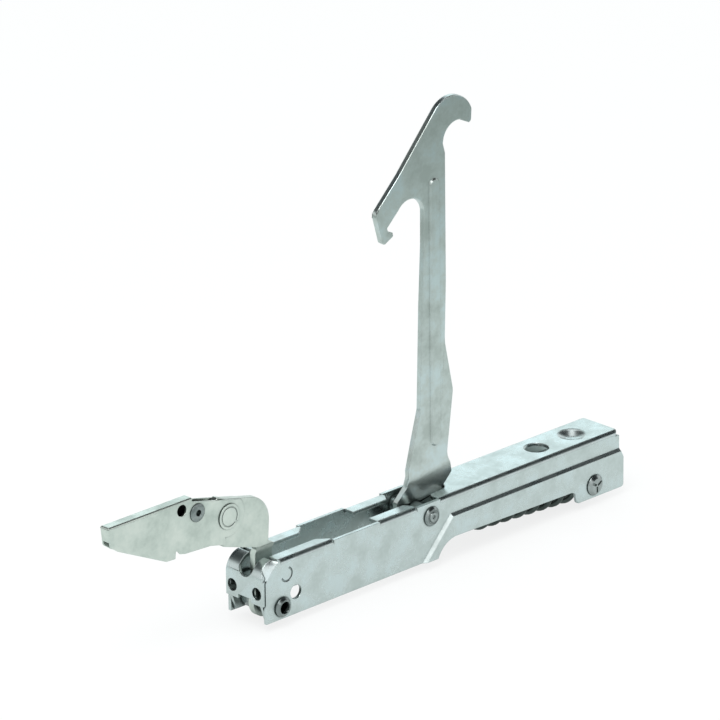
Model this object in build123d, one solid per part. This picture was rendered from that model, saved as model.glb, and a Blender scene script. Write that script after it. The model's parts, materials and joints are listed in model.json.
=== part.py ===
from build123d import *
from math import atan2, cos, degrees, radians, sin, sqrt
import os

# Oven door hinge, in millimetres. While it is drawn, X runs back from the front edge of the
# channel, Y runs from the near wall to the far wall and Z runs up from the lower edges of the
# channel. The finished pieces are then moved so that the origin lies between the two front screws.

# Channel: one folded sheet, an upside-down U with lips beside its front opening
channel_length = 202.0
channel_width = 22.0
channel_height = 25.0
sheet = 1.5
fold_radius = 2.2
chamfer_length = 7.2
chamfer_drop = 7.4
lip_gap = 9.0
front_lip_start = 8.0
front_lip_end = 37.5
rear_lip_start = 63.0
rear_lip_end = 84.0
lip_corner = 4.5
web_start = 97.0
web_notch_width = 7.5
joggle_depth = 1.3
joggle_height = 17.2
joggle_start = 102.7
joggle_foot = 86.5
skirt_start = 94.5
skirt_ramp = 11.5
skirt_height = 7.0
skirt_rear_height = 5.8
skirt_rear_ramp = 2.0
skirt_margin = 26.5
tab_overhang = 1.5
tab_corner = 1.5
web_hole_radius = 5.25
web_hole_margin = 38.0
dimple_radius = 6.5
dimple_depth = 1.8
dimple_margin = 17.0
web_rear_corner = 3.0
web_tongue_corner = 2.5
side_hole_radius = 3.0
side_hole_x = 16.2
side_hole_z = 9.4
lance_radius = 3.2
lance_width = 0.7
lance_depth = 0.5
lance_x = 11.4
lance_z = 18.3

# Pins, with the place of each axis
front_pin_x = 8.7
front_pin_z = 5.2
arm_pin_x = 91.8
arm_pin_z = 19.1
rear_pin_margin = 16.1
rear_pin_z = 5.6
pin_radius = 3.0
head_radius = 4.1
head_rise = 1.7
front_pin_bore = 2.1
front_pin_mouth = 2.6
rear_head_radius = 4.4
stake_depth = 0.5
stake_width = 0.9

# Fits
fixed_fit = 0.02
running_fit = 0.05
side_play = 0.05

# Front block: one stamped sheet
face_half_width = 10.5
face_bottom = 7.7
curl_radius = 8.0
curl_angle = 84.0
curl_slot_width = 8.0
curl_slot_bottom = 20.0
clinch_rise = 0.5
clinch_reach = 2.7
clinch_low_reach = 0.8
clinch_first = 14.0
clinch_last = 80.0
flange_length = 14.5
flange_bottom = 0.8
flange_top = 15.2
flange_corner = 4.0
flange_play = 0.1
knuckle_notch_width = 7.2
knuckle_notch_top = 9.4
screw_spacing = 14.0
screw_radius = 2.6
screw_height = 12.5

# Claw: one stamped plate with a small sideways joggle, measured from the front pin
claw_thickness = 3.0
claw_offset = 1.8
claw_bend_bottom = 21.3
claw_bend_top = 24.8
neck_front = -5.4
neck_rear = 3.9
neck_corner = 1.2
blade_corner = 2.0
knuckle_radius = 6.7
claw_spacer_radius = 4.8

# Latch: one folded sheet over the blade of the claw, measured from its own pivot
latch_pivot_forward = 21.5
latch_pivot_rise = 43.0
latch_sheet = 0.8
latch_play = 0.1
latch_fold = 0.75
latch_corner = 1.5
latch_length = 62.5
latch_top = 13.4
latch_heel_radius = 8.4
latch_web_gap = 19.1
latch_pivot_radius = 3.4
latch_disc_radius = 4.25
latch_ring_radius = 5.25
latch_groove = 0.5
latch_head_rise = 0.5
stop_forward = 16.5
stop_rise = 6.5
stop_radius = 2.5
stop_bore = 1.3
stop_head_radius = 3.75
stop_head_rise = 0.9
latch_hole_forward = 24.5
latch_hole_rise = 9.6
latch_hole_radius = 2.4

# Arm: one stamped plate with a joggle above the root and a pressed rib, measured from the arm pin
arm_thickness = 2.5
arm_offset = 4.0
arm_bend_bottom = 4.9
arm_bend_top = 16.9
arm_root_rear = 16.6
arm_waist_radius = 8.0
hook_inner_radius = 2.5
jaw_corner = 1.8
tip_corner = 1.2
rib_x = 8.4
rib_bottom = 26.7
rib_top = 140.7
rib_width = 5.6
rib_height = 0.8
arm_lean = 18.0
arm_stop_gap = 0.3

# Draw links, spring and their pins
foot_pin_radius = 2.0
foot_pin_drop = 8.5
foot_radius = 4.6
small_head_rise = 1.0
small_head_overlap = 1.0
link_thickness = 1.5
link_play = 0.3
link_end_radius = 4.2
link_slot_play = 0.15
link_reach = 26.2
link_pin_z = 7.3
link_pin_radius = 2.5
wire_radius = 1.5
coil_radius = 6.0
coil_pitch = 7.12
coil_front_height = 7.1
coil_rear_height = 3.6
coil_front_lead = 6.4
coil_rear_lead = 4.3
hook_play = 0.1
collar_play = 0.5

# Sizes that follow from the ones above
wall_outer = channel_width / 2
wall_inner = wall_outer - sheet
joggle_inner = wall_inner + joggle_depth
joggle_outer = wall_outer + joggle_depth
flange_outer = wall_inner - flange_play
flange_inner = flange_outer - sheet
foot_pin_z = arm_pin_z - foot_pin_drop
claw_half = claw_thickness / 2
arm_half = arm_thickness / 2
blade_near = claw_half + claw_offset
blade_far = claw_offset - claw_half
latch_near_in = -blade_near - latch_play
latch_near_out = latch_near_in - latch_sheet
latch_far_in = -blade_far + latch_play
latch_far_out = latch_far_in + latch_sheet
link_in = arm_half + link_play
link_out = link_in + link_thickness
arm_bush_radius = foot_pin_drop - link_end_radius - link_play
rear_end = channel_length + tab_overhang
rear_pin_x = channel_length - rear_pin_margin
web_hole_x = channel_length - web_hole_margin
dimple_x = channel_length - dimple_margin
skirt_end = channel_length - skirt_margin
curl_x = curl_radius - sheet
curl_z = channel_height - chamfer_drop - 0.3
clinch_radius = curl_radius + clinch_rise
latch_pivot_x = front_pin_x - latch_pivot_forward
latch_pivot_z = front_pin_z + latch_pivot_rise
link_pin_x = arm_pin_x + link_reach
coil_end = rear_pin_x - coil_rear_lead
coil_turns = int((coil_end - link_pin_x - coil_front_lead) / coil_pitch)
coil_start = coil_end - coil_turns * coil_pitch
collar_inner = coil_radius + wire_radius + collar_play


def side_face(*steps):
    """A face in the XZ plane. A step (x, z) is a line to there, (x1, z1, x, z) an arc by way of (x1, z1)."""
    edges = []
    here = steps[0][-2:]
    for step in steps[1:] + steps[:1]:
        start, middle, end = [(x, 0, z) for x, z in (here, step[:2], step[-2:])]
        edges.append(ThreePointArc(start, middle, end) if len(step) == 4 else Line(start, end))
        here = step[-2:]
    return make_face(edges)


def across(face, near, far):
    """Extrude a face of the XZ plane along Y, from near to far."""
    return extrude(Pos(0, near, 0) * face, amount=far - near, dir=(0, 1, 0))


def lengthwise(points, x0, x1):
    """Extrude an outline of the YZ plane along X, from x0 to x1."""
    face = make_face(Polyline(*[(x0, y, z) for y, z in points], close=True))
    return extrude(face, amount=x1 - x0, dir=(1, 0, 0))


def block(x0, x1, y0, y1, z0, z1):
    """A box between two corners."""
    size = Box(x1 - x0, y1 - y0, z1 - z0)
    return Pos((x0 + x1) / 2, (y0 + y1) / 2, (z0 + z1) / 2) * size


def rod(x, z, radius, near, far):
    """A cylinder along Y."""
    place = Pos(x, (near + far) / 2, z) * Rot(90, 0, 0)
    return place * Cylinder(radius, far - near)


def turned(x, z, profile):
    """Turn a profile, given as (radius, y) points, about the axis along Y through (x, z)."""
    face = make_face(Polyline(*[(r, y, 0) for r, y in profile], close=True))
    return Pos(x, 0, z) * revolve(face, axis=Axis.Y)


def sleeve(x, z, bore, radius, near, far):
    """A plain spacer along Y."""
    return rod(x, z, radius, near, far) - rod(x, z, bore, near - 1, far + 1)


def round_corners(solid, places, radius):
    """Round the edges along Y that lie at the given (x, z) places."""
    chosen = []
    for x, z in places:
        along = solid.edges().filter_by(Axis.Y)
        chosen.append(along.sort_by(lambda e: (e.center().X - x) ** 2 + (e.center().Z - z) ** 2)[0])
    return fillet(chosen, radius)


def channel_side():
    """The side view of the channel, with the cut-out of its skirt."""
    outline = side_face(
        (0, 0),
        (0, channel_height - chamfer_drop),
        (chamfer_length, channel_height),
        (channel_length, channel_height),
        (channel_length, joggle_height - 1),
        (rear_end, joggle_height - 1 - 2 * tab_overhang),
        (rear_end, 0),
        (skirt_end, 0),
        (skirt_end - skirt_rear_ramp / 2, skirt_rear_height - skirt_rear_ramp / 2),
        (skirt_end - 1.5 * skirt_rear_ramp, skirt_rear_height),
        (skirt_start + skirt_ramp, skirt_height),
        (skirt_start + 0.35 * skirt_ramp, 0.7 * skirt_height, skirt_start, 0),
    )
    body = across(outline, -joggle_outer, joggle_outer)
    return round_corners(body, [(rear_end, 0), (skirt_end, 0)], tab_corner)


def folded_top(start, end):
    """A stretch of the channel's top with both folds."""
    outline = Plane.YZ * Rectangle(channel_width, channel_height)
    solid = Pos(start, 0, channel_height / 2) * extrude(outline, amount=end - start)
    top = solid.edges().filter_by(Axis.X).group_by(Axis.Z)[-1]
    solid = fillet(top, fold_radius)
    room = Plane.YZ * Rectangle(channel_width - 2 * sheet, channel_height)
    inside = Pos(start, 0, channel_height / 2 - sheet) * extrude(room, amount=end - start)
    under = inside.edges().filter_by(Axis.X).group_by(Axis.Z)[-1]
    inside = fillet(under, fold_radius - sheet)
    return solid - inside


def lip_opening(start, end, taper):
    """The gap between two lips, seen from above, widened at its rear corners."""
    half = lip_gap / 2
    wide = half + lip_corner
    plan = [(start - 1, half), (end - taper, half), (end + 1, wide), (end + 1, -wide)]
    plan += [(end - taper, -half), (start - 1, -half)]
    face = make_face(Polyline(*[(x, y, 0) for x, y in plan], close=True))
    return extrude(Pos(0, 0, channel_height - sheet - 1) * face, amount=sheet + 2)


def web_plan():
    """The rear stretch seen from above: rounded rear corners, and the notch in which the arm stands."""
    length = channel_length - web_start
    plan = Pos(web_start + length / 2, 0) * Rectangle(length, channel_width)
    plan = fillet(plan.vertices().group_by(Axis.X)[-1], web_rear_corner)
    half = web_notch_width / 2
    end = arm_pin_x + arm_root_rear + arm_stop_gap - half
    plan -= Pos((web_start + end) / 2, 0) * Rectangle(end - web_start, web_notch_width)
    plan -= Pos(end, 0) * Circle(half)
    mouth = plan.vertices().group_by(Axis.X)[0].sort_by(lambda v: abs(v.Y))[:2]
    plan = fillet(mouth, web_tongue_corner)
    return extrude(plan, amount=channel_height + 1)


def joggle_pad(side, level):
    """The pressed-out area of a lower rear wall, as a tapered pad that starts at level."""
    margin = 6
    area = side_face(
        (joggle_foot - margin * 0.95, -margin),
        (joggle_start, joggle_height),
        (channel_length + 20, joggle_height),
        (channel_length + 20, -margin),
    )
    pad = extrude(area, amount=joggle_depth, dir=(0, 1, 0), taper=45)
    pad = Pos(0, level, 0) * pad
    return pad if side > 0 else pad.mirror(Plane.XZ)


def lance_mark():
    """The shallow arc that is lanced in the near wall, open to its upper front side."""
    ring = rod(lance_x, lance_z, lance_radius, -wall_outer - 1, -wall_outer + lance_depth)
    ring -= rod(lance_x, lance_z, lance_radius - lance_width, -wall_outer - 2, 0)
    reach = lance_radius + 1
    open_side = block(-reach, reach, -20, 0, 0.3 * lance_radius, reach)
    return ring - Pos(lance_x, 0, lance_z) * Rot(0, -45, 0) * open_side


def on_curl(radius, angle):
    """The point (x, z) at a radius and an angle of the curl, counted up from its front."""
    return curl_x - radius * cos(radians(angle)), curl_z + radius * sin(radians(angle))


def curl_ring(radius, first, last):
    """The side view of a sheet rolled about the curl's axis, between two angles."""
    middle = (first + last) / 2
    inner = radius - sheet
    return side_face(
        on_curl(radius, first),
        on_curl(radius, middle) + on_curl(radius, last),
        on_curl(inner, last),
        on_curl(inner, middle) + on_curl(inner, first),
    )


def clinch_side(gap):
    """The space beside the near end of the curl, which the clinched corner of the wall fills."""
    inner = -wall_outer + clinch_reach - gap
    lower = -wall_outer + clinch_low_reach - gap
    z0 = curl_z + clinch_radius * sin(radians(clinch_first))
    z1 = curl_z + clinch_radius * sin(radians(40))
    outline = [(-20, z0 - 1), (lower, z0 - 1), (lower, z0), (inner, z1), (inner, 40), (-20, 40)]
    return lengthwise(outline, -10, 20)


def clinched_corner():
    """The near front corner of the wall, hammered over the end of the curl."""
    low = channel_height - chamfer_drop
    depth = sheet * sqrt(2) / 2
    bulge = clinch_rise / 2
    x = chamfer_length / 2 - bulge
    z = low + chamfer_drop / 2 + bulge
    wall_end = side_face(
        (0, low),
        (x, z, chamfer_length, channel_height),
        (chamfer_length + depth, channel_height - depth),
        (x + depth, z - depth, depth, low - depth),
    )
    rolled = curl_ring(clinch_radius, clinch_first, clinch_last)
    corner = loft([Pos(0, -wall_outer, 0) * wall_end, Pos(0, -wall_outer + clinch_reach, 0) * rolled], ruled=True)
    return corner & clinch_side(0)


def make_channel():
    body = folded_top(web_start, channel_length) & web_plan()
    for start, end, taper in (
        (front_lip_start, front_lip_end, lip_corner),
        (rear_lip_start, rear_lip_end, lip_corner / 2),
    ):
        body += folded_top(start, end) - lip_opening(start, end, taper)
    for y0 in (-wall_outer, wall_inner):
        wall = block(0, rear_end, y0, y0 + sheet, 0, channel_height - fold_radius)
        for start, end in ((0, front_lip_start), (front_lip_end, rear_lip_start), (rear_lip_end, web_start)):
            wall += block(start, end, y0, y0 + sheet, 0, channel_height)
        body += wall
    for side in (-1, 1):
        body += joggle_pad(side, wall_outer)
        body -= joggle_pad(side, wall_inner)
    body &= channel_side()
    body += clinched_corner()
    body -= Pos(web_hole_x, 0, channel_height) * Cylinder(web_hole_radius, 4 * sheet)
    ball = (dimple_radius ** 2 + dimple_depth ** 2) / (2 * dimple_depth)
    dimple = Pos(dimple_x, 0, channel_height + ball - dimple_depth)
    under = block(dimple_x - ball, dimple_x + ball, -ball, ball, 0, channel_height - sheet / 2)
    body += dimple * Sphere(ball + sheet) & under
    body -= dimple * Sphere(ball)
    body -= rod(side_hole_x, side_hole_z, side_hole_radius, -20, 20)
    body -= lance_mark()
    hole = pin_radius + fixed_fit
    for x, z in ((front_pin_x, front_pin_z), (arm_pin_x, arm_pin_z), (rear_pin_x, rear_pin_z)):
        body -= rod(x, z, hole, -20, 20)
    return body


def make_front_block():
    body = block(-sheet, 0, -face_half_width, face_half_width, face_bottom, curl_z)
    curl = across(curl_ring(curl_radius, 0, curl_angle), -face_half_width, face_half_width)
    curl -= clinch_side(-flange_play)
    slot = curl_slot_width / 2
    curl -= block(-5, curl_x, -slot, slot, curl_slot_bottom + slot / 2, 40)
    curl -= Pos(0, 0, curl_slot_bottom + slot / 2) * Rot(0, 90, 0) * Cylinder(slot, 20)
    body += curl
    half = knuckle_notch_width / 2
    body -= block(-5, 1, -half, half, 0, knuckle_notch_top)
    for y0 in (-flange_outer, flange_inner):
        leg = side_face(
            (-sheet / 2, face_bottom),
            (-sheet / 2, flange_top),
            (flange_length - flange_corner, flange_top),
            (flange_length, flange_top - flange_corner),
            (flange_length, flange_bottom),
            (sheet, flange_bottom),
        )
        body += across(leg, y0, y0 + sheet)
    for y in (-screw_spacing / 2, screw_spacing / 2):
        body -= Pos(0, y, screw_height) * Rot(0, 90, 0) * Cylinder(screw_radius, 8)
    body -= rod(side_hole_x, side_hole_z, side_hole_radius + 0.4, -20, 20)
    body -= rod(front_pin_x, front_pin_z, pin_radius + fixed_fit, -20, 20)
    return body


def make_front_pin():
    half = wall_outer
    lip = pin_radius + 0.1
    return turned(front_pin_x, front_pin_z, [
        (front_pin_bore, -half),
        (front_pin_mouth, -half - head_rise),
        (lip, -half - head_rise),
        (head_radius, -half - 0.4 * head_rise),
        (head_radius, -half),
        (pin_radius, -half),
        (pin_radius, half),
        (head_radius, half),
        (head_radius, half + 0.6 * head_rise),
        (front_pin_bore, half + 0.6 * head_rise),
    ])


def make_arm_pin():
    half = wall_outer
    ring = head_radius - 1.2
    return turned(arm_pin_x, arm_pin_z, [
        (0, -half - 0.7 * head_rise),
        (0.6, -half - 0.7 * head_rise),
        (0.9, -half - head_rise),
        (ring - 0.9, -half - head_rise),
        (ring - 0.6, -half - 0.65 * head_rise),
        (ring, -half - 0.65 * head_rise),
        (ring + 0.2, -half - 0.85 * head_rise),
        (head_radius, -half - 0.3 * head_rise),
        (head_radius, -half),
        (pin_radius, -half),
        (pin_radius, half),
        (head_radius, half),
        (ring, half + 0.5 * head_rise),
        (0, half + 0.8 * head_rise),
    ])


def make_rear_pin():
    half = joggle_outer
    solid = turned(rear_pin_x, rear_pin_z, [
        (0, -half - head_rise),
        (pin_radius, -half - head_rise),
        (rear_head_radius, -half - 0.3 * head_rise),
        (rear_head_radius, -half),
        (pin_radius, -half),
        (pin_radius, half),
        (rear_head_radius, half),
        (rear_head_radius, half + 0.3 * head_rise),
        (pin_radius, half + 0.8 * head_rise),
        (0, half + 0.8 * head_rise),
    ])
    front = -half - head_rise
    groove = block(stake_width / 2, pin_radius, front - 1, front + stake_depth, -stake_width / 2, stake_width / 2)
    for angle in (90, 210, 330):
        solid -= Pos(rear_pin_x, 0, rear_pin_z) * Rot(0, angle, 0) * groove
    return solid


def bent_plate(thickness, offset, bend_bottom, bend_top, x0, x1, z0, z1):
    """A plate in the XZ plane whose upper part is joggled towards -Y."""
    half = thickness / 2
    return lengthwise([
        (half, z0),
        (half, bend_bottom),
        (half - offset, bend_top),
        (half - offset, z1),
        (-half - offset, z1),
        (-half - offset, bend_top),
        (-half, bend_bottom),
        (-half, z0),
    ], x0, x1)


def make_claw():
    """The claw, drawn about the front pin: knuckle, neck, and the blade that leans forward."""
    outline = side_face(
        (neck_front, 0),
        (neck_front, 23.4),
        (-6.5, 24.9),
        (-23.7, 30.4),
        (-32.7, 36.8),
        (-46.7, 39.3),
        (-52.7, 37.8),
        (-58.7, 40.8),
        (-56.7, 45.4),
        (-42.7, 46.6),
        (-33.7, 46.6),
        (-26.2, 52.0),
        (-22.7, 50.4),
        (-6.5, 46.5),
        (-1.2, 42.1, 0.9, 34.5),
        (0.3, 25.8),
        (neck_rear, 24.2),
        (neck_rear, 0),
    )
    solid = across(outline, -20, 20)
    solid = round_corners(solid, [(neck_rear, 24.2), (-33.7, 46.6), (-26.2, 52.0)], neck_corner)
    solid = round_corners(solid, [(-52.7, 37.8), (-58.7, 40.8), (-56.7, 45.4)], blade_corner)
    solid += rod(0, 0, knuckle_radius, -20, 20)
    solid &= bent_plate(claw_thickness, claw_offset, claw_bend_bottom, claw_bend_top, -80, 30, -10, 70)
    solid -= rod(0, 0, pin_radius + running_fit, -20, 20)
    solid -= rod(-latch_pivot_forward, latch_pivot_rise, latch_pivot_radius + fixed_fit, -20, 20)
    return Pos(front_pin_x, 0, front_pin_z) * solid


def latch_cheek(near, far):
    """One cheek of the latch, drawn about its pivot."""
    outline = side_face(
        (-latch_length, latch_top),
        (0.9 - latch_length, 5.2),
        (-58.0, 2.5),
        (-33.1, -9.3),
        (-28.4, -9.5),
        (-28.0, -6.5),
        (-27.0, -6.9),
        (-26.0, -8.2),
        (-23.2, -8.9),
        (-9.7, -9.6),
        (-2.0, -11.5),
        (-2.0, -8.2),
        (0.94 * latch_heel_radius, -0.34 * latch_heel_radius, 6.4, 5.4),
        (-latch_web_gap, 11.7),
        (-latch_web_gap, latch_top),
    )
    cheek = across(outline, near, far)
    return round_corners(cheek, [(0.9 - latch_length, 5.2), (-58.0, 2.5), (-33.1, -9.3)], latch_corner)


def make_latch():
    """The latch, drawn about its pivot: two cheeks, joined by a fold at the top and one at the end."""
    body = latch_cheek(latch_near_out, latch_near_in) + latch_cheek(latch_far_in, latch_far_out)
    end = -latch_length
    body += block(end, -latch_web_gap, latch_near_out, latch_far_out, latch_top - latch_sheet, latch_top)
    end_web = side_face(
        (end, latch_top),
        (end + latch_sheet, latch_top),
        (end + latch_sheet + 0.7, 7.0),
        (end + 0.7, 7.0),
    )
    body += across(end_web, latch_near_out, latch_far_out)
    upper = body.faces().sort_by(Axis.Z)[-1].edges()
    folds = upper.filter_by(Axis.X) + upper.filter_by(Axis.Y).sort_by(Axis.X)[:1]
    body = fillet(folds, latch_fold)
    body -= rod(0, 0, latch_pivot_radius + running_fit, -20, 20)
    body -= rod(-stop_forward, stop_rise, stop_radius + fixed_fit, -20, 20)
    body -= rod(-latch_hole_forward, latch_hole_rise, latch_hole_radius, -20, latch_near_in + 0.1)
    return Pos(latch_pivot_x, 0, latch_pivot_z) * body


def make_latch_pivot():
    """The pivot rivet, with an open ring round the disc of its near head."""
    near = latch_near_out - side_play
    far = latch_far_out + side_play
    disc = latch_disc_radius - latch_groove
    rivet = turned(0, 0, [
        (0, near - latch_head_rise),
        (disc, near - latch_head_rise),
        (disc, near - latch_head_rise / 2),
        (latch_disc_radius, near - latch_head_rise / 2),
        (latch_disc_radius, near - latch_head_rise),
        (latch_ring_radius, near - latch_head_rise),
        (latch_ring_radius, near),
        (latch_pivot_radius, near),
        (latch_pivot_radius, far),
        (latch_ring_radius, far),
        (latch_ring_radius, far + latch_head_rise),
        (0, far + latch_head_rise),
    ])
    level = near - latch_head_rise
    gap = block(disc, latch_ring_radius + 1, level - 1, level + latch_head_rise / 2, -latch_groove, latch_groove)
    rivet -= Rot(0, 40, 0) * gap
    return Pos(latch_pivot_x, 0, latch_pivot_z) * rivet


def make_latch_stop():
    near = latch_near_out
    return turned(latch_pivot_x - stop_forward, latch_pivot_z + stop_rise, [
        (stop_bore, near - stop_head_rise),
        (stop_radius, near - stop_head_rise),
        (stop_head_radius, near - stop_head_rise / 3),
        (stop_head_radius, near),
        (stop_radius, near),
        (stop_radius, latch_far_out),
        (stop_head_radius, latch_far_out),
        (stop_head_radius, latch_far_out + stop_head_rise / 2),
        (stop_bore, latch_far_out + stop_head_rise / 2),
    ])


def arm_outline():
    """The side view of the arm about its pin, from the tip over the hook, down the front and up the rear."""
    hook = [
        (29.5, 158.4),
        (29.9, 164.5),
        (18.4, 172.5, 9.7, 168.9),
    ]
    jaw = [
        (-10.7, 146.3),
        (-24.2, 133.2),
        (-20.7, 120.6),
        (-19.3, 119.6),
        (-14.5, 122.0),
        (-14.8, 123.6),
        (-17.1, 124.3),
        (-17.5, 126.0),
        (-11.1, 132.0),
        (-4.0, 134.9, 2.7, 128.6),
    ]
    front_edge = [
        (2.6, 113.6),
        (1.4, 90.0),
        (0, 44.4),
        (-3.3, 32.8),
        (-6.8, 19.6),
        (-6.5, 11.8),
        (-10.0, 5.5),
        (-8.8, 0),
    ]
    root = [
        (-foot_radius, -foot_pin_drop),
        (foot_radius, -foot_pin_drop),
        (9.7, -1.6),
        (arm_root_rear, channel_height - sheet - arm_pin_z),
        (arm_root_rear, channel_height + 1 - arm_pin_z),
    ]
    rear_edge = [
        (19.3, 12.1),
        (15.0, 21.1),
        (18.7, 48.2),
        (14.2, 70.1),
        (15.0, 95.9),
        (14.9, 149.5),
        (13.7, 153.6),
        (16.2, 159.2, 23.1, 161.4),
    ]
    return hook + jaw + front_edge + root + rear_edge


def make_arm():
    """The arm, drawn about its pin."""
    solid = across(side_face(*arm_outline()), -20, 20)
    solid = round_corners(solid, [(29.5, 158.4), (14.9, 149.5)], tip_corner)
    solid = round_corners(solid, [(29.9, 164.5)], 2 * tip_corner)
    solid = round_corners(solid, [(-24.2, 133.2)], 2 * jaw_corner)
    solid = round_corners(solid, [(-14.5, 122.0), (-17.1, 124.3)], jaw_corner / 3)
    waist = [(0, 44.4), (-3.3, 32.8), (15.0, 21.1), (18.7, 48.2), (14.2, 70.1)]
    solid = round_corners(solid, waist, arm_waist_radius)
    solid = round_corners(solid, [(19.3, 12.1), (-6.5, 11.8), (-10.0, 5.5)], jaw_corner)
    solid += rod(0, -foot_pin_drop, foot_radius, -20, 20)
    solid &= bent_plate(arm_thickness, arm_offset, arm_bend_bottom, arm_bend_top, -50, 50, -30, 200)
    rib = extrude(
        Plane.XZ * Pos(rib_x, (rib_bottom + rib_top) / 2) * Rot(0, 0, 90)
        * SlotOverall(rib_top - rib_bottom, rib_width),
        amount=rib_height,
        taper=40,
    )
    solid += Pos(0, -arm_offset - arm_half, 0) * rib
    solid -= Pos(0, -arm_offset + arm_half, 0) * rib
    solid -= rod(0, 0, pin_radius + running_fit, -20, 20)
    solid -= rod(0, -foot_pin_drop, foot_pin_radius + fixed_fit, -20, 20)
    return Pos(arm_pin_x, 0, arm_pin_z) * solid


def small_pin(x, z, radius, reach):
    """A short pin with a thin head at both ends, outside the draw links."""
    head = radius + small_head_overlap
    return turned(x, z, [
        (0, -reach - small_head_rise),
        (head, -reach - small_head_rise),
        (head, -reach),
        (radius, -reach),
        (radius, reach),
        (head, reach),
        (head, reach + small_head_rise),
        (0, reach + small_head_rise),
    ])


def make_link(near, far):
    """A draw link, with an upright slot in which the foot pin can rise as the arm leans."""
    front = (arm_pin_x, foot_pin_z)
    rear = (link_pin_x, link_pin_z)
    body = rod(*front, link_end_radius, near, far) + rod(*rear, link_end_radius, near, far)
    dx = rear[0] - front[0]
    dz = rear[1] - front[1]
    span = sqrt(dx ** 2 + dz ** 2)
    nx = -dz / span * link_end_radius
    nz = dx / span * link_end_radius
    body += across(
        side_face(
            (front[0] + nx, front[1] + nz),
            (rear[0] + nx, rear[1] + nz),
            (rear[0] - nx, rear[1] - nz),
            (front[0] - nx, front[1] - nz),
        ),
        near,
        far,
    )
    rise = foot_pin_drop * (1 - cos(radians(arm_lean)))
    bore = foot_pin_radius + link_slot_play
    slot = rod(*front, bore, -20, 20) + rod(front[0], front[1] + rise, bore, -20, 20)
    slot += block(front[0] - bore, front[0] + bore, -20, 20, front[1], front[1] + rise)
    body -= slot
    body -= rod(*rear, link_pin_radius + fixed_fit, -20, 20)
    return body


def make_spring():
    """A draw spring that falls to the rear. At both ends the wire hooks over a pin from the top of the coil."""
    run = coil_end - coil_start
    fall = coil_front_height - coil_rear_height
    length = sqrt(run ** 2 + fall ** 2)
    path = Helix(pitch=length / coil_turns, height=length, radius=coil_radius, lefthand=True)
    tilt = degrees(atan2(fall, run))
    path = Pos(coil_start, 0, coil_front_height) * Rot(0, 90 + tilt, 0) * Rot(0, 0, 180) * path
    section = Plane(origin=path @ 0, z_dir=path % 0) * Circle(wire_radius)
    body = sweep(section, path=path, is_frenet=True)
    ends = (
        (path @ 0, link_pin_x, link_pin_z, link_pin_radius),
        (path @ 1, rear_pin_x, rear_pin_z, pin_radius),
    )
    for start, x, z, pin in ends:
        radius = pin + hook_play + wire_radius
        away = 1 if x > start.X else -1
        inner_side = x - away * (radius + wire_radius + 1)
        open_side = block(min(x, inner_side), max(x, inner_side), -wire_radius, wire_radius, z, z + 20)
        body += Pos(x, 0, z) * Rot(90, 0, 0) * Torus(radius, wire_radius) - open_side
        leg = Vector(x, 0, z + radius) - start
        body += Solid.make_cylinder(wire_radius, leg.length, Plane(origin=start, z_dir=leg))
        body += Pos(*start) * Sphere(wire_radius)
    return body


def build_pieces():
    pieces = {
        "channel": make_channel(),
        "front_block": make_front_block(),
        "front_pin": make_front_pin(),
        "claw": make_claw(),
        "latch": make_latch(),
        "latch_pivot_rivet": make_latch_pivot(),
        "latch_stop_rivet": make_latch_stop(),
        "arm": make_arm(),
        "arm_pin": make_arm_pin(),
        "rear_pin": make_rear_pin(),
        "spring": make_spring(),
    }
    pieces["foot_pin"] = small_pin(arm_pin_x, foot_pin_z, foot_pin_radius, link_out + side_play)
    pieces["link_pin"] = small_pin(link_pin_x, link_pin_z, link_pin_radius, link_out)
    claw_gap = claw_half + side_play
    arm_gap = arm_half + side_play
    spacers = (
        ("claw_spacer", front_pin_x, front_pin_z, claw_spacer_radius, claw_gap, flange_inner),
        ("arm_bush", arm_pin_x, arm_pin_z, arm_bush_radius, arm_gap, wall_inner),
        ("rear_sleeve", rear_pin_x, rear_pin_z, rear_head_radius, collar_inner, joggle_inner),
    )
    for name, x, z, radius, inner, outer in spacers:
        bore = pin_radius + fixed_fit
        reach = outer - side_play
        pieces[name + "_near"] = sleeve(x, z, bore, radius, -reach, -inner)
        pieces[name + "_far"] = sleeve(x, z, bore, radius, inner, reach)
    pieces["link_near"] = make_link(-link_out, -link_in)
    pieces["link_far"] = make_link(link_in, link_out)
    return pieces


os.makedirs("parts", exist_ok=True)
to_origin = Pos(sheet, 0, -screw_height)
for name, piece in build_pieces().items():
    piece = to_origin * piece
    piece.label = name
    export_step(piece, "parts/" + name + ".step")
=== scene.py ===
# %% [markdown]
# # Oven door hinge in bright zinc plate
#
# The hinge is a small machine of folded and stamped steel: a channel, a long hooked arm,
# a draw spring and a folding claw with its latch. The solids are loaded first and stay where
# they are. This lesson dresses them: every sheet gets the softly broken edges that a press
# leaves, the spring is wound from a real wire, and all of it gets its zinc finish.

# %% Load the solids
import json
from math import atan2, cos, degrees, radians, sin, tau

import bmesh
import bpy
from mathutils import Matrix, Vector
from mathutils.bvhtree import BVHTree
from mathutils.kdtree import KDTree


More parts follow.
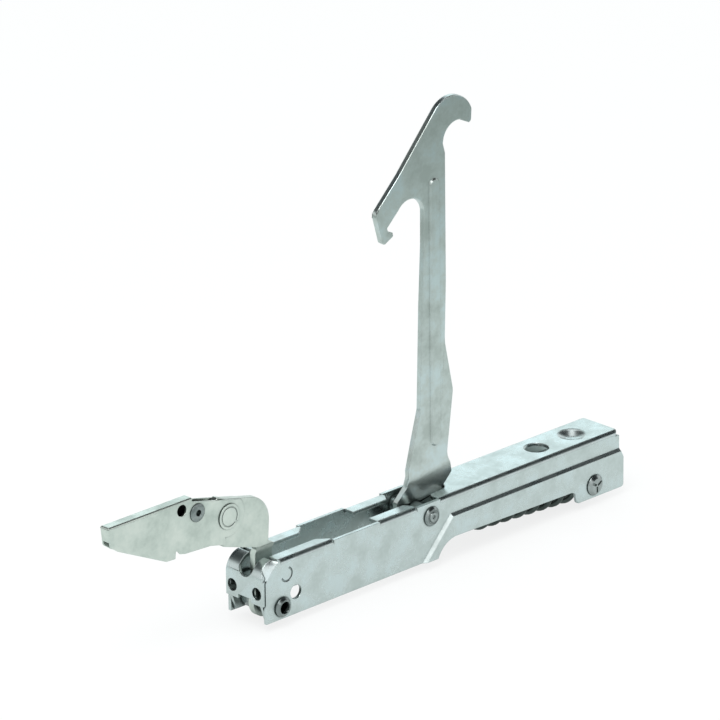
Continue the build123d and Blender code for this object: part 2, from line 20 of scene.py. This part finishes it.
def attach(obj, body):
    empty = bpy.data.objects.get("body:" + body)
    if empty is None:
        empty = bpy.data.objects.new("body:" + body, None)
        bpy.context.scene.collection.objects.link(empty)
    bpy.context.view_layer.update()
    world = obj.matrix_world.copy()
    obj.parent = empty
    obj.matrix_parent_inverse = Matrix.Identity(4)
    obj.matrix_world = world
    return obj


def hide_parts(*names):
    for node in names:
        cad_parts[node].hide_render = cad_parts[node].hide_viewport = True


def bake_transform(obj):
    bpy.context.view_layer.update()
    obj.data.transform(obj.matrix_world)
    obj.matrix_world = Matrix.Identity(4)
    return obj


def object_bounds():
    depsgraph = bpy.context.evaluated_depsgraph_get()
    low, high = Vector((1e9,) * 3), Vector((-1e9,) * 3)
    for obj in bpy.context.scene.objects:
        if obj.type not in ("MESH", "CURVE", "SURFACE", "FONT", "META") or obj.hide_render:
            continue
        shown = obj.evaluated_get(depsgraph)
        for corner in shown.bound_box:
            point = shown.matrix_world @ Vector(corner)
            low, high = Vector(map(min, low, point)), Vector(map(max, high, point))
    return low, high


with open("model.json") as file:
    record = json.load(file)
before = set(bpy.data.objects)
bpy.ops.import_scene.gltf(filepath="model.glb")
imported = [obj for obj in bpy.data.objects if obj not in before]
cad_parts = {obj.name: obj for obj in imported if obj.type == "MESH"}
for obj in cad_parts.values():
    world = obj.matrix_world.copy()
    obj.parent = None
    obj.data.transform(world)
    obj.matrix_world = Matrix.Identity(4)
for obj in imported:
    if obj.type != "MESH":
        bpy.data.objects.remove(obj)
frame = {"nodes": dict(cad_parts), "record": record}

cad_low, cad_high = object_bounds()
nodes = frame["nodes"]
body_of = {n: body for body, names in frame["record"]["behaviour"]["bodies"].items() for n in names}
print("solids:", len(nodes), "size in mm:", [round(v * 1000, 1) for v in cad_high - cad_low])

# %% [markdown]
# ## Where things are
#
# The origin of the frame lies between the two front screws. It is easier to think in
# millimetres from the front edge of the channel and from its lower edges, so one function
# turns such a place into the frame's metres.

# %% Millimetres from the channel's front lower edge
MM = 0.001
FRONT_EDGE = 1.5
SCREW_HEIGHT = 12.5


def at(x, y, z):
    """A place in metres, from millimetres behind the channel's front edge and above its lower edges."""
    return Vector((x + FRONT_EDGE, y, z - SCREW_HEIGHT)) * MM


print("front lower edge in metres:", [round(v, 4) for v in at(0, 0, 0)])

# %% [markdown]
# ## The camera
#
# The photograph was taken from the front left, 21 degrees above the hinge, from far away: the
# edges of the channel hardly run together. A long lens at more than two metres gives that
# flat perspective. The camera's matrix is put together from its own directions, rather than
# with a tracking constraint, so that it keeps the slight roll of the shot.

# %% Camera
CAMERA_AZIMUTH = radians(-44.087)
CAMERA_HEIGHT_ANGLE = radians(20.952)
CAMERA_ROLL = radians(-0.652)
CAMERA_DISTANCE = 2.245755
LENS_MM = 283.454


def add_camera(target):
    """A far camera that looks at the target with a small roll."""
    flat = cos(CAMERA_HEIGHT_ANGLE)
    back = Vector((sin(CAMERA_AZIMUTH) * flat, -cos(CAMERA_AZIMUTH) * flat, sin(CAMERA_HEIGHT_ANGLE)))
    right = Vector((cos(CAMERA_AZIMUTH), sin(CAMERA_AZIMUTH), 0))
    up = back.cross(right)
    side = right * cos(CAMERA_ROLL) + up * sin(CAMERA_ROLL)
    top = up * cos(CAMERA_ROLL) - right * sin(CAMERA_ROLL)
    data = bpy.data.cameras.new("camera")
    data.lens = LENS_MM
    data.sensor_width = 36
    data.clip_end = 20
    camera = bpy.data.objects.new("camera", data)
    turn = Matrix((side, top, back)).transposed().to_4x4()
    camera.matrix_world = Matrix.Translation(target + back * CAMERA_DISTANCE) @ turn
    bpy.context.scene.collection.objects.link(camera)
    bpy.context.scene.camera = camera
    return camera


camera = add_camera(at(63.439, 0, 91.336))
print("camera at", [round(v, 3) for v in camera.matrix_world.translation])

# %% [markdown]
# ## Helpers for nodes and colours
#
# A material is a small network. One function adds a node, sets its values and joins its
# inputs, so each material below reads as a list of what it is made of. Colours are written
# as the hex values that a picture shows, and are turned to linear light once, here.

# %% Node and colour helpers
def linear(hex_colour):
    """An sRGB hex colour as linear light, with full alpha."""
    parts = [int(hex_colour[i:i + 2], 16) / 255 for i in (1, 3, 5)]
    light = [c / 12.92 if c <= 0.04045 else ((c + 0.055) / 1.055) ** 2.4 for c in parts]
    return (*light, 1.0)


def add(tree, kind, settings=None, stops=(), **inputs):
    """Adds a node.

    Settings are its own options, stops are the (place, hex) colours of a ramp, and inputs are
    values or the sockets to join. Where a node's inputs share a name, i3 stands for input 3.
    """
    node = tree.nodes.new("ShaderNode" + kind)
    for name, value in (settings or {}).items():
        setattr(node, name, value)
    for name, value in inputs.items():
        numbered = name[0] == "i" and name[1:].isdigit()
        socket = node.inputs[int(name[1:]) if numbered else name.replace("_", " ")]
        if isinstance(value, bpy.types.NodeSocket):
            tree.links.new(value, socket)
        else:
            socket.default_value = value
    if stops:
        band = node.color_ramp
        while len(band.elements) < len(stops):
            band.elements.new(0.5)
        for element, (place, colour) in zip(band.elements, stops):
            element.position = place
            element.color = linear(colour)
    return node


def new_material(name):
    """An empty material with its node tree and its output."""
    material = bpy.data.materials.new(name)
    material.use_nodes = True
    tree = material.node_tree
    tree.nodes.clear()
    return material, tree, tree.nodes.new("ShaderNodeOutputMaterial")


print("mid grey as linear light:", [round(v, 3) for v in linear("#808080")])

# %% [markdown]
# ## Zinc plate
#
# Bright zinc is electroplated on to the pressed steel. It is a metal all the way to the
# surface, so metallic is 1 and the base colour is the colour of its reflections: a cool grey
# with a breath of green from the passivation. The plating bath leaves soft clouds a few
# millimetres wide and the rolled sheet below leaves a finer grain, so both vary the colour
# and the roughness a little, and the grain gives a slight bump.
#
# The bath hardly reaches the inner corner of a fold or the foot of a rivet head, so the zinc is duller there,
# and painted shade darkens it there and in the deep pockets between the sheets. Two ambient occlusion nodes
# find these places, one near and one far. A bevel node rounds how the edges catch the light, a little wider
# than their real bevel, as the thick plate on an edge does.

# %% Zinc plate
CLOUD_MM = 9.0
MOTTLE_MM = 1.6
GRAIN_MM = 0.35
GRAIN_DEPTH_MM = 0.05
CORNER_MM = 1.6
PAINTED_CORNER_SHADE = "#4e5856"
CORNER_ROUGHNESS = 0.5
POCKET_MM = 14.0
PAINTED_POCKET_SHADE = "#59635f"


def zinc(name, pale, mid, deep, rough_low, rough_high, bump=0.06, edge_mm=0.3):
    """Zinc-plated steel with clouds, mottle, rolled grain, dull corners, and painted shade in its corners and
    pockets.
    """
    material, tree, output = new_material(name)
    place = add(tree, "TexCoord").outputs["Object"]
    cloud = add(tree, "TexNoise", Vector=place, Scale=1 / (CLOUD_MM * MM), Detail=3.0, Roughness=0.5)
    mottle = add(tree, "TexNoise", Vector=place, Scale=1 / (MOTTLE_MM * MM), Detail=3.0, Roughness=0.55)
    grain = add(tree, "TexNoise", Vector=place, Scale=1 / (GRAIN_MM * MM), Detail=2.0, Roughness=0.5)
    both = add(tree, "Mix", {"data_type": "FLOAT"}, i0=0.25, i2=cloud.outputs["Fac"], i3=mottle.outputs["Fac"])
    colour = add(tree, "ValToRGB", stops=[(0.36, deep), (0.5, mid), (0.64, pale)], Fac=both.outputs[0])

    # Painted shade: the colour darkens towards a dark grey where the near ambient occlusion finds a corner or
    # the foot of a rivet head.
    corner = add(tree, "AmbientOcclusion", {"samples": 8}, Distance=CORNER_MM * MM)
    clear_of_corner = add(
        tree, "MapRange", Value=corner.outputs["AO"], From_Min=0.45, From_Max=0.9, To_Min=0.0, To_Max=1.0,
    )
    corner_shaded = add(
        tree, "Mix", {"data_type": "RGBA"},
        i0=clear_of_corner.outputs[0], i6=linear(PAINTED_CORNER_SHADE), i7=colour.outputs["Color"],
    )
    # Painted shade: the colour darkens in the deep pockets between the sheets, where the far ambient occlusion
    # finds them.
    pocket = add(tree, "AmbientOcclusion", {"samples": 8}, Distance=POCKET_MM * MM)
    clear_of_pocket = add(
        tree, "MapRange", Value=pocket.outputs["AO"], From_Min=0.05, From_Max=0.58, To_Min=0.0, To_Max=1.0,
    )
    shaded = add(
        tree, "Mix", {"data_type": "RGBA"},
        i0=clear_of_pocket.outputs[0], i6=linear(PAINTED_POCKET_SHADE), i7=corner_shaded.outputs[2],
    )

    rough = add(
        tree, "MapRange", Value=both.outputs[0],
        From_Min=0.38, From_Max=0.62, To_Min=rough_high, To_Max=rough_low,
    )
    dulled = add(
        tree, "Mix", {"data_type": "FLOAT"},
        i0=clear_of_corner.outputs[0], i2=CORNER_ROUGHNESS, i3=rough.outputs[0],
    )
    soft_edge = add(tree, "Bevel", {"samples": 6}, Radius=edge_mm * MM)
    relief = add(
        tree, "Bump", Strength=bump, Distance=GRAIN_DEPTH_MM * MM, Height=grain.outputs["Fac"],
        Normal=soft_edge.outputs["Normal"],
    )
    shader = add(
        tree, "BsdfPrincipled", Base_Color=shaded.outputs[2], Roughness=dulled.outputs[0],
        Metallic=1.0, Normal=relief.outputs["Normal"],
    )
    tree.links.new(shader.outputs[0], output.inputs["Surface"])
    return material


# %% [markdown]
# The pieces are plated in different batches. The folded sheet is the coolest and brightest.
# The stamped plates are a little duller, the claw and its latch are warmer, and the rivets are
# darker. The spring's wire is painted much darker still, as painted shade for the dark inside of the channel
# where it lies.

# %% The five batches
sheet_zinc = zinc("zinc_plated_sheet_steel", "#c9d5d6", "#c5cfce", "#bbc5c3", 0.24, 0.32, edge_mm=0.4)
plate_zinc = zinc("zinc_plated_stamped_plate", "#c6d3d4", "#c0c9c6", "#b2bbb7", 0.28, 0.36)
latch_zinc = zinc("zinc_plated_latch_sheet", "#d3dad3", "#c9d2cb", "#bcc6bf", 0.28, 0.38)
rivet_zinc = zinc("zinc_plated_rivet_steel", "#a9b0af", "#939b9a", "#7a8382", 0.18, 0.3, bump=0.04, edge_mm=0.5)
# Painted shade: the wire's colours are dark to stand for the shade inside the channel.
wire_zinc = zinc("zinc_plated_spring_wire", "#5f6866", "#4b5351", "#3a4240", 0.25, 0.4, bump=0.03, edge_mm=0.2)
print("materials:", len(bpy.data.materials))

# %% [markdown]
# ## Softened edges
#
# A press rounds one side of every cut, and the plating rounds it a little more, so each sheet
# has a fine bright rim. The loaded solids have knife edges. A copy of a solid is merged into
# one skin, its flat faces are joined, and a narrow bevel breaks its cut edges. Folds and the
# facets of round shapes turn by less than a cut edge does, so they are left as they are.

# %% Mark the cut edges and the sharp ones
SHARP = radians(30)
CUT_EDGE = radians(75)


def weigh_edges(work):
    """Marks the cut edges, but no soft fold or facet line, for the bevel."""
    layer = work.edges.layers.float.new("bevel_weight_edge")
    for edge in work.edges:
        if edge.calc_face_angle(0) > CUT_EDGE:
            edge[layer] = 1.0


def shade_by_angle(mesh):
    """Smooth shading, broken at the edges that turn by more than SHARP."""
    work = bmesh.new()
    work.from_mesh(mesh)
    for face in work.faces:
        face.smooth = True
    for edge in work.edges:
        edge.smooth = edge.calc_face_angle(0) < SHARP
    work.to_mesh(mesh)
    work.free()


print("bevelled edges turn by more than", round(degrees(CUT_EDGE)), "degrees")

# %% [markdown]
# ## Corners that can't take the bevel
#
# Where an edge is shorter than the bevel is wide, its new corner sticks out of the sheet as a
# thorn, which a press never makes. A bevel that is clamped to the shortest edge would vanish
# everywhere, so the bevel isn't clamped. Each place that leaves the skin of the solid is
# found instead, and the edges around it keep their knife edge. The search widens a few times,
# until next to nothing sticks out.

# %% Break the edges
ATTEMPTS = 6
STRAY_SHARE = 0.45
FIRST_REACH_MM = 0.6
REACH_STEP_MM = 0.5


def evaluated(piece):
    """The piece with its modifiers at work."""
    return piece.evaluated_get(bpy.context.evaluated_depsgraph_get())


def strays(piece, skin, limit):
    """Places of the bevelled piece that lie further than the limit from the solid's skin."""
    shown = evaluated(piece)
    mesh = shown.to_mesh()
    mesh.calc_loop_triangles()
    spots = [vert.co.copy() for vert in mesh.vertices]
    spots += [sum((mesh.vertices[i].co for i in tri.vertices), Vector()) / 3 for tri in mesh.loop_triangles]
    shown.to_mesh_clear()
    return [spot for spot in spots if skin.find_nearest(spot)[3] > limit]


def spare_corners(piece, spots, reach):
    """Takes the bevel off the edges near the given spots. Returns how many edges changed."""
    mesh = piece.data
    weights = mesh.attributes["bevel_weight_edge"].data
    tree = KDTree(len(spots))
    for i, spot in enumerate(spots):
        tree.insert(spot, i)
    tree.balance()
    changed = 0
    for edge in mesh.edges:
        near = min(tree.find(mesh.vertices[v].co)[2] for v in edge.vertices)
        if near < reach and weights[edge.index].value > 0:
            weights[edge.index].value = 0
            changed += 1
    return changed


def break_edges(piece, skin, width):
    """Bevels the marked edges, spares the corners that would stick out, and keeps the result."""
    bevel = piece.modifiers.new("broken edges", "BEVEL")
    bevel.width = width * MM
    bevel.segments = 3
    bevel.limit_method = "WEIGHT"
    bevel.use_clamp_overlap = False
    for attempt in range(ATTEMPTS):
        spots = strays(piece, skin, STRAY_SHARE * width * MM)
        reach = (FIRST_REACH_MM + REACH_STEP_MM * attempt) * MM
        if not spots or not spare_corners(piece, spots, reach):
            break
    piece.data = bpy.data.meshes.new_from_object(evaluated(piece))
    piece.modifiers.clear()
    return len(spots)


print("attempts to spare the corners of a piece:", ATTEMPTS)

# %% [markdown]
# ## Dress the solids
#
# The dressed copy stands for its solid, at the same place and size, and moves with the same
# body. Its normals are weighted by the size of the faces, so that a flat sheet mirrors as a
# flat sheet and only the narrow bevel turns the light. The arm keeps its triangles, because
# its faces are cut up by the pressed rib and joining them leaves a hairline in the shading.
# The thicker the sheet, the wider its broken edge: 0.4 mm on the arm, 0.1 mm on the latch.

# %% Dress each solid
WELD_MM = 0.02
FLAT = radians(0.5)


def dress(node, material, width, join_flats=True):
    """Stands a copy with broken edges in a solid's place."""
    work = bmesh.new()
    work.from_mesh(nodes[node].data)
    bmesh.ops.remove_doubles(work, verts=work.verts, dist=WELD_MM * MM)
    skin = BVHTree.FromBMesh(work)
    if join_flats:
        bmesh.ops.dissolve_limit(
            work, angle_limit=FLAT, verts=work.verts, edges=work.edges, delimit={"NORMAL"},
        )
    weigh_edges(work)
    mesh = bpy.data.meshes.new(node + "_dressed")
    work.to_mesh(mesh)
    work.free()
    mesh.materials.append(material)
    piece = bpy.data.objects.new(node + "_dressed", mesh)
    bpy.context.scene.collection.objects.link(piece)
    left = break_edges(piece, skin, width)
    flats = piece.modifiers.new("level flats", "WEIGHTED_NORMAL")
    flats.mode = "FACE_AREA"
    flats.weight = 80
    flats.keep_sharp = True
    shade_by_angle(piece.data)
    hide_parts(node)
    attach(piece, body_of[node])
    print(node, "faces:", len(piece.data.polygons), "places off the skin:", left)


dress("channel", sheet_zinc, 0.18)
dress("front_block", sheet_zinc, 0.18)
dress("latch", latch_zinc, 0.12)
dress("claw", latch_zinc, 0.25)
dress("arm", plate_zinc, 0.4, join_flats=False)
for node in ("link_near", "link_far"):
    dress(node, plate_zinc, 0.25)

# %% [markdown]
# ## Dress the rivets
#
# The rivets, pins, bushes and collars are turned or headed from wire, and their edges are
# finer. The large rivet of the latch is flush and was plated with the latch, so it has its
# colour. The others come from their own batch. They are found among the nodes by the words
# in their names.

# %% Dress the rivets
RIVET_EDGE = 0.08
RIVET_WORDS = ("_pin", "stop_rivet", "_spacer", "_bush", "_sleeve")

dress("latch_pivot_rivet", latch_zinc, RIVET_EDGE)
for node in [n for n in nodes if any(word in n for word in RIVET_WORDS)]:
    dress(node, rivet_zinc, RIVET_EDGE)

# %% [markdown]
# ## The draw spring
#
# A draw spring is one wire: a hook under and round the link pin, a lead up to the first coil,
# the coils, and a second hook round the rear pin. The wire's path is worked out from the
# pitch and the radius, as it is on the machine that winds it, and a round wire follows it.
# The spring shortens as the arm leans; the channel holds its rear hook and the links pull its
# front hook.

# %% Path of the wire
WIRE = 1.5
COIL = 6.0
TURNS = 8
COIL_START = 124.64
COIL_END = 181.6
START_HEIGHT = 7.1
END_HEIGHT = 3.6
STEPS = 32
HOOK_STEPS = 24


def hook_path(x, z, radius, first, last):
    """Points round a pin, from one angle to another."""
    turn = [radians(first + (last - first) * i / HOOK_STEPS) for i in range(HOOK_STEPS + 1)]
    return [(x + radius * cos(a), 0, z + radius * sin(a)) for a in turn]


def coil_path():
    """Points along the coils, which wind to the left and fall towards the rear."""
    run = COIL_END - COIL_START
    fall = START_HEIGHT - END_HEIGHT
    lean = atan2(fall, run)
    points = []
    for i in range(TURNS * STEPS + 1):
        share = i / (TURNS * STEPS)
        angle = tau * i / STEPS
        rise = COIL * cos(angle)
        x = COIL_START + run * share + rise * sin(lean)
        z = START_HEIGHT - fall * share + rise * cos(lean)
        points.append((x, COIL * sin(angle), z))
    return points


front_hook = hook_path(118.0, 7.3, 4.1, 355, 90)
rear_hook = hook_path(185.9, 5.6, 4.6, 90, -175)
path = front_hook + coil_path() + rear_hook
print("points along the wire:", len(path))

# %% [markdown]
# A curve with a round section carries the wire along the path. The curve is turned into a
# mesh.

# %% Wind the spring
def wire_piece(name, points, radius, material):
    """A round wire along points, as a mesh."""
    curve = bpy.data.curves.new(name, "CURVE")
    curve.dimensions = "3D"
    curve.bevel_depth = radius * MM
    curve.bevel_resolution = 5
    curve.use_fill_caps = True
    spline = curve.splines.new("POLY")
    spline.points.add(len(points) - 1)
    for target, point in zip(spline.points, points):
        target.co = (*at(*point), 1)
    holder = bpy.data.objects.new(name + "_curve", curve)
    bpy.context.scene.collection.objects.link(holder)
    bpy.context.view_layer.update()
    mesh = bpy.data.meshes.new_from_object(evaluated(holder))
    bpy.data.objects.remove(holder)
    piece = bpy.data.objects.new(name, mesh)
    bpy.context.scene.collection.objects.link(piece)
    mesh.materials.clear()
    mesh.materials.append(material)
    mesh.polygons.foreach_set("use_smooth", [True] * len(mesh.polygons))
    return piece


spring = wire_piece("spring_wire", path, WIRE, wire_zinc)
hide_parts("spring")
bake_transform(spring)
print("spring faces:", len(spring.data.polygons))

# %% [markdown]
# ## The table
#
# The picture is a catalogue shot on a white paper table. The camera sees the paper white with
# a soft shadow. For the upright steel the paper carries a painted pool of light: it glows, bright close by and
# painted darker further out, where less light would fall on it, and that painted fade gives the tall arm its
# slow fade to grey.

# %% Table
TABLE_HALF = 6.0
TABLE_GAP_MM = 0.05
TABLE_MIDDLE = (0.1, 0)
TABLE_NEAR = 0.12
TABLE_FAR = 0.55
PAINTED_TABLE_FALLOFF = [(0.0, "#f0f4f3"), (0.5, "#e9f0ee"), (0.64, "#e2eae8"), (0.8, "#b0bab8"), (1.0, "#9ba5a3")]
PAPER = "#f6f7f7"
GLOW_FOR_CAMERA = 0.8
GLOW_FOR_STEEL = 0.5


def paper_table(lowest):
    """White paper that shows its shadow to the camera, and to the steel a painted pool of light that dims with
    the distance.
    """
    material, tree, output = new_material("white_paper_table")
    path = add(tree, "LightPath")
    place = add(tree, "TexCoord").outputs["Object"]
    away = add(tree, "VectorMath", {"operation": "DISTANCE"}, i0=place, i1=(*TABLE_MIDDLE, lowest))
    dimmer = add(
        tree, "MapRange", Value=away.outputs["Value"],
        From_Min=TABLE_NEAR, From_Max=TABLE_FAR, To_Min=0.0, To_Max=1.0,
    )
    # Painted pool of light: for the steel the table's colour fades from pale near the hinge to grey further
    # out.
    mirrored = add(tree, "ValToRGB", stops=PAINTED_TABLE_FALLOFF, Fac=dimmer.outputs[0]).outputs["Color"]
    tone = add(
        tree, "Mix", {"data_type": "RGBA"}, i0=path.outputs["Is Glossy Ray"], i6=linear(PAPER), i7=mirrored,
    )
    paper = add(tree, "BsdfDiffuse", Color=tone.outputs[2])
    seen = add(
        tree, "Mix", {"data_type": "RGBA"}, i0=path.outputs["Is Camera Ray"], i6=mirrored, i7=(1, 1, 1, 1),
    )
    glow = add(tree, "Emission", Color=seen.outputs[2], Strength=1.0)
    for_camera = add(
        tree, "Math", {"operation": "MULTIPLY"}, i0=path.outputs["Is Camera Ray"], i1=GLOW_FOR_CAMERA,
    )
    # The paper glows for the steel as well, a painted light on a table that is no lamp.
    share = add(
        tree, "Math", {"operation": "MULTIPLY_ADD"},
        i0=path.outputs["Is Glossy Ray"], i1=GLOW_FOR_STEEL, i2=for_camera.outputs[0],
    )
    mix = add(tree, "MixShader", i0=share.outputs[0], i1=paper.outputs[0], i2=glow.outputs[0])
    tree.links.new(mix.outputs[0], output.inputs["Surface"])
    return material


def add_floor(lowest):
    """A wide pale table just under the hinge."""
    mesh = bpy.data.meshes.new("floor")
    work = bmesh.new()
    bmesh.ops.create_grid(work, x_segments=1, y_segments=1, size=TABLE_HALF)
    bmesh.ops.translate(work, verts=work.verts, vec=(0, 0, lowest - TABLE_GAP_MM * MM))
    work.to_mesh(mesh)
    work.free()
    mesh.materials.append(paper_table(lowest))
    floor = bpy.data.objects.new("floor", mesh)
    bpy.context.scene.collection.objects.link(floor)


add_floor(cad_low.z)
print("table at z in mm:", round(cad_low.z * 1000, 2))

# %% [markdown]
# ## The light tent
#
# Steel shows what stands around it. The tent has bright walls and an open, dark roof, which
# the rounded folds mirror as their dark lines. The flat top mirrors a bright panel on the
# far side, the slope of the channel's joggle mirrors a bright window above the camera's left,
# and a strip of light overhead gives the rounded heads their highlights. They are drawn on
# the world by direction, because lamps that far away would act in the same way. One soft
# lamp casts the shadow.

# %% Directions of the lights, as the steel mirrors them
FAR_PANEL = (0.63, 0.7, 0.33)
KEY_PANEL = (-0.36, -0.71, 0.6)
ACROSS_VIEW = (0.718, -0.696, 0)
ROOF_TONES = [(0.0, "#ffffff"), (0.42, "#f8fdfd"), (0.52, "#20282a"), (1.0, "#181e20")]
FAR_STRENGTH = 1.55
STRIP_STRENGTH = 1.6
KEY_STRENGTH = 1.9
LAMP_PLACE = (-0.7, -0.5, 1.6)
LAMP_SIZE = 0.9
LAMP_WATTS = 12


def soft_panel(tree, facing, centre):
    """How much of a soft round panel is seen in a direction."""
    off = add(tree, "VectorMath", {"operation": "DISTANCE"}, i0=facing, i1=centre)
    return add(
        tree, "MapRange", {"interpolation_type": "SMOOTHSTEP"}, Value=off.outputs["Value"],
        From_Min=0.12, From_Max=0.3, To_Min=1.0, To_Max=0.0,
    ).outputs[0]


def overhead_strip(tree, facing, height):
    """How much of a long soft strip overhead, in line with the view, is seen in a direction."""
    aside = add(tree, "VectorMath", {"operation": "DOT_PRODUCT"}, i0=facing, i1=ACROSS_VIEW)
    off_strip = add(tree, "Math", {"operation": "ABSOLUTE"}, i0=aside.outputs["Value"])
    across = add(
        tree, "MapRange", {"interpolation_type": "SMOOTHSTEP"}, Value=off_strip.outputs[0],
        From_Min=0.06, From_Max=0.16, To_Min=1.0, To_Max=0.0,
    )
    overhead = add(
        tree, "MapRange", {"interpolation_type": "SMOOTHSTEP"}, Value=height,
        From_Min=0.55, From_Max=0.75, To_Min=0.0, To_Max=1.0,
    )
    return add(tree, "Math", {"operation": "MULTIPLY"}, i0=across.outputs[0], i1=overhead.outputs[0]).outputs[0]


def add_tent():
    """The world: white for the camera, and for the steel a bright tent under a dark roof."""
    world = bpy.data.worlds.new("light_tent")
    bpy.context.scene.world = world
    world.use_nodes = True
    tree = world.node_tree
    tree.nodes.clear()
    path = add(tree, "LightPath")
    facing = add(tree, "TexCoord").outputs["Generated"]
    height = add(tree, "SeparateXYZ", Vector=facing).outputs["Z"]
    walls = add(tree, "ValToRGB", stops=ROOF_TONES, Fac=height).outputs["Color"]
    tent = add(tree, "Background", Color=walls, Strength=1.0)
    strip = add(tree, "Background", Color=(1, 1, 1, 1), Strength=STRIP_STRENGTH)
    key = add(tree, "Background", Color=(1, 1, 1, 1), Strength=KEY_STRENGTH)
    panel = add(tree, "Background", Color=linear("#eefdff"), Strength=FAR_STRENGTH)
    strip_share = overhead_strip(tree, facing, height)
    roof = add(tree, "MixShader", i0=strip_share, i1=tent.outputs[0], i2=strip.outputs[0])
    key_share = soft_panel(tree, facing, KEY_PANEL)
    keyed = add(tree, "MixShader", i0=key_share, i1=roof.outputs[0], i2=key.outputs[0])
    far_share = soft_panel(tree, facing, FAR_PANEL)
    mirrored = add(tree, "MixShader", i0=far_share, i1=keyed.outputs[0], i2=panel.outputs[0])
    lit = add(tree, "Background", Color=linear("#f0f6f6"), Strength=1.0)
    shown = add(tree, "Background", Color=(1, 1, 1, 1), Strength=1.0)
    steel = add(tree, "MixShader", i0=path.outputs["Is Glossy Ray"], i1=lit.outputs[0], i2=mirrored.outputs[0])
    both = add(tree, "MixShader", i0=path.outputs["Is Camera Ray"], i1=steel.outputs[0], i2=shown.outputs[0])
    output = tree.nodes.new("ShaderNodeOutputWorld")
    tree.links.new(both.outputs[0], output.inputs["Surface"])


def add_lamp(aim):
    """A soft square lamp that casts the shadow on the table."""
    data = bpy.data.lights.new("key", "AREA")
    data.shape = "RECTANGLE"
    data.size = LAMP_SIZE
    data.size_y = LAMP_SIZE
    data.energy = LAMP_WATTS
    lamp = bpy.data.objects.new("key", data)
    place = Vector(LAMP_PLACE)
    facing = (aim - place).to_track_quat("-Z", "Y").to_matrix().to_4x4()
    lamp.matrix_world = Matrix.Translation(place) @ facing
    bpy.context.scene.collection.objects.link(lamp)


add_lamp(at(64, 0, 60))
add_tent()
bpy.context.scene.view_settings.view_transform = "Standard"
print("lamps:", len(bpy.data.lights), "world:", bpy.context.scene.world.name)
